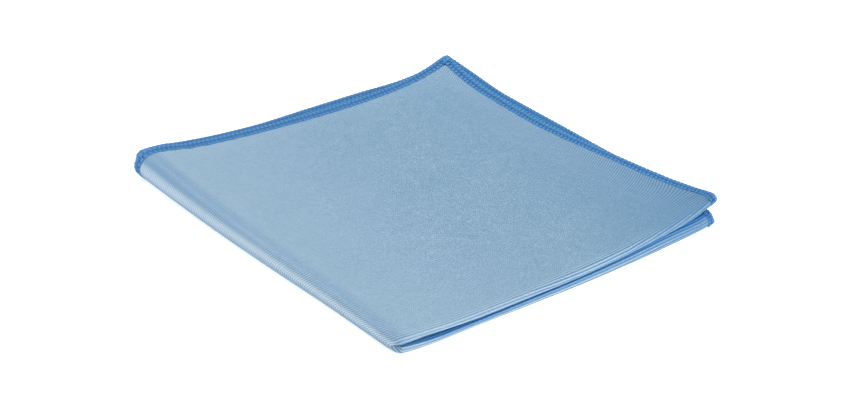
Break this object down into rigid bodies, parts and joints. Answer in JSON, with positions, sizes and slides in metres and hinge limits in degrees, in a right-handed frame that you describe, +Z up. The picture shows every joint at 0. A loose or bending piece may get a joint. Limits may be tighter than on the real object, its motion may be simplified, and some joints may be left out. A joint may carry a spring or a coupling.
{
  "type": "folded microfibre cloth",
  "caption": "Square microfibre cleaning cloth with an overlocked edge, folded in quarters and lying flat.",
  "frame": {"origin": "middle of the folded cloth's footprint, on the surface it lies on", "axes": "+Z up; +Y from the tips of the first fold to the hems opposite; +X from the second fold to the hems opposite"},
  "size_m": [0.2034, 0.2112, 0.0161],
  "materials": {
    "knit": "light steel blue ribbed microfibre knit, matt"
  },
  "bodies": {
    "root": {"cloth": "knit"}
  },
  "joints": []
}
